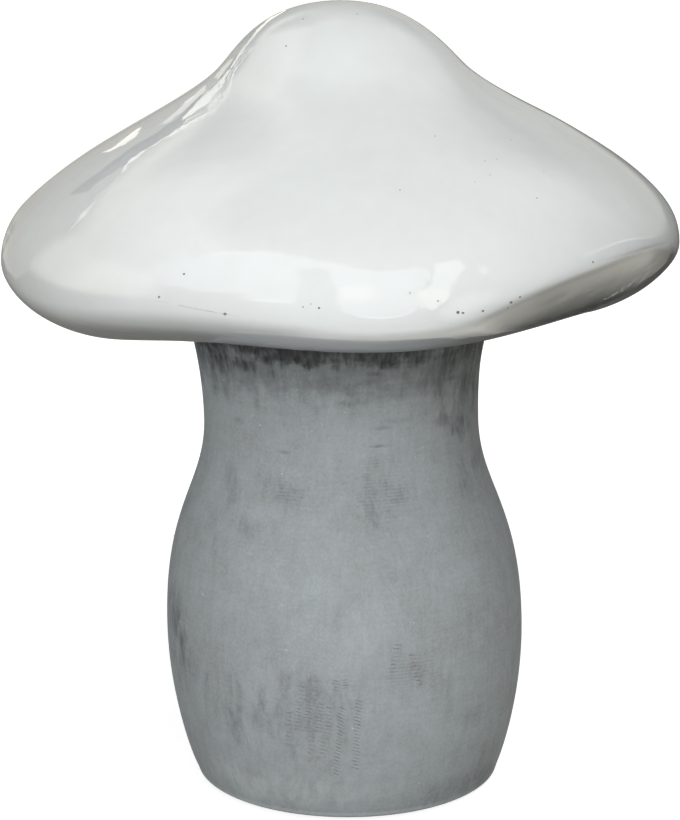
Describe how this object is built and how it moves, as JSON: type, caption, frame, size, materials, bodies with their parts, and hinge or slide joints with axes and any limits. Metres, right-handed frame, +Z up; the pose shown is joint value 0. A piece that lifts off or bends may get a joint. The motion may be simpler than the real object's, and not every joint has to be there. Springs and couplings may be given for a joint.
{
  "type": "mushroom ornament",
  "caption": "Mushroom ornament: a glossy white glazed cap with a waving rim, resting loose in the flared mouth of a bellied matt grey stem.",
  "frame": {"origin": "on the ground, at the middle of the part's outline seen from above, below the axis that the cap turns on", "axes": "+Z up along the axis of the mouth and collar, -Y towards the viewer, +X to the viewer's right"},
  "size_m": [0.3408, 0.3408, 0.4023],
  "materials": {
    "white_glaze": "glossy white glaze with pinholes",
    "grey_stoneware": "matt grey unglazed body, scraped and smudged",
    "black_rubber": "matt black rubber",
    "grey_rubber": "matt grey rubber"
  },
  "bodies": {
    "stem": {"stem": "grey_stoneware", "foot_pad_front_left": "grey_rubber", "foot_pad_front_right": "grey_rubber", "foot_pad_back_left": "grey_rubber", "foot_pad_back_right": "grey_rubber"},
    "cushion_ring": {"cushion_ring": "black_rubber"},
    "cap": {"cap": "white_glaze"}
  },
  "joints": [
    {"name": "cap_turn", "type": "hinge", "parent": "stem", "child": "cushion_ring", "pos_m": [0, 0, 0.2605], "axis": [0, 0, 1], "continuous": true},
    {"name": "cap_lift", "type": "slide", "parent": "cushion_ring", "child": "cap", "axis": [0, 0, 1], "range_m": [0, 0.06]}
  ]
}
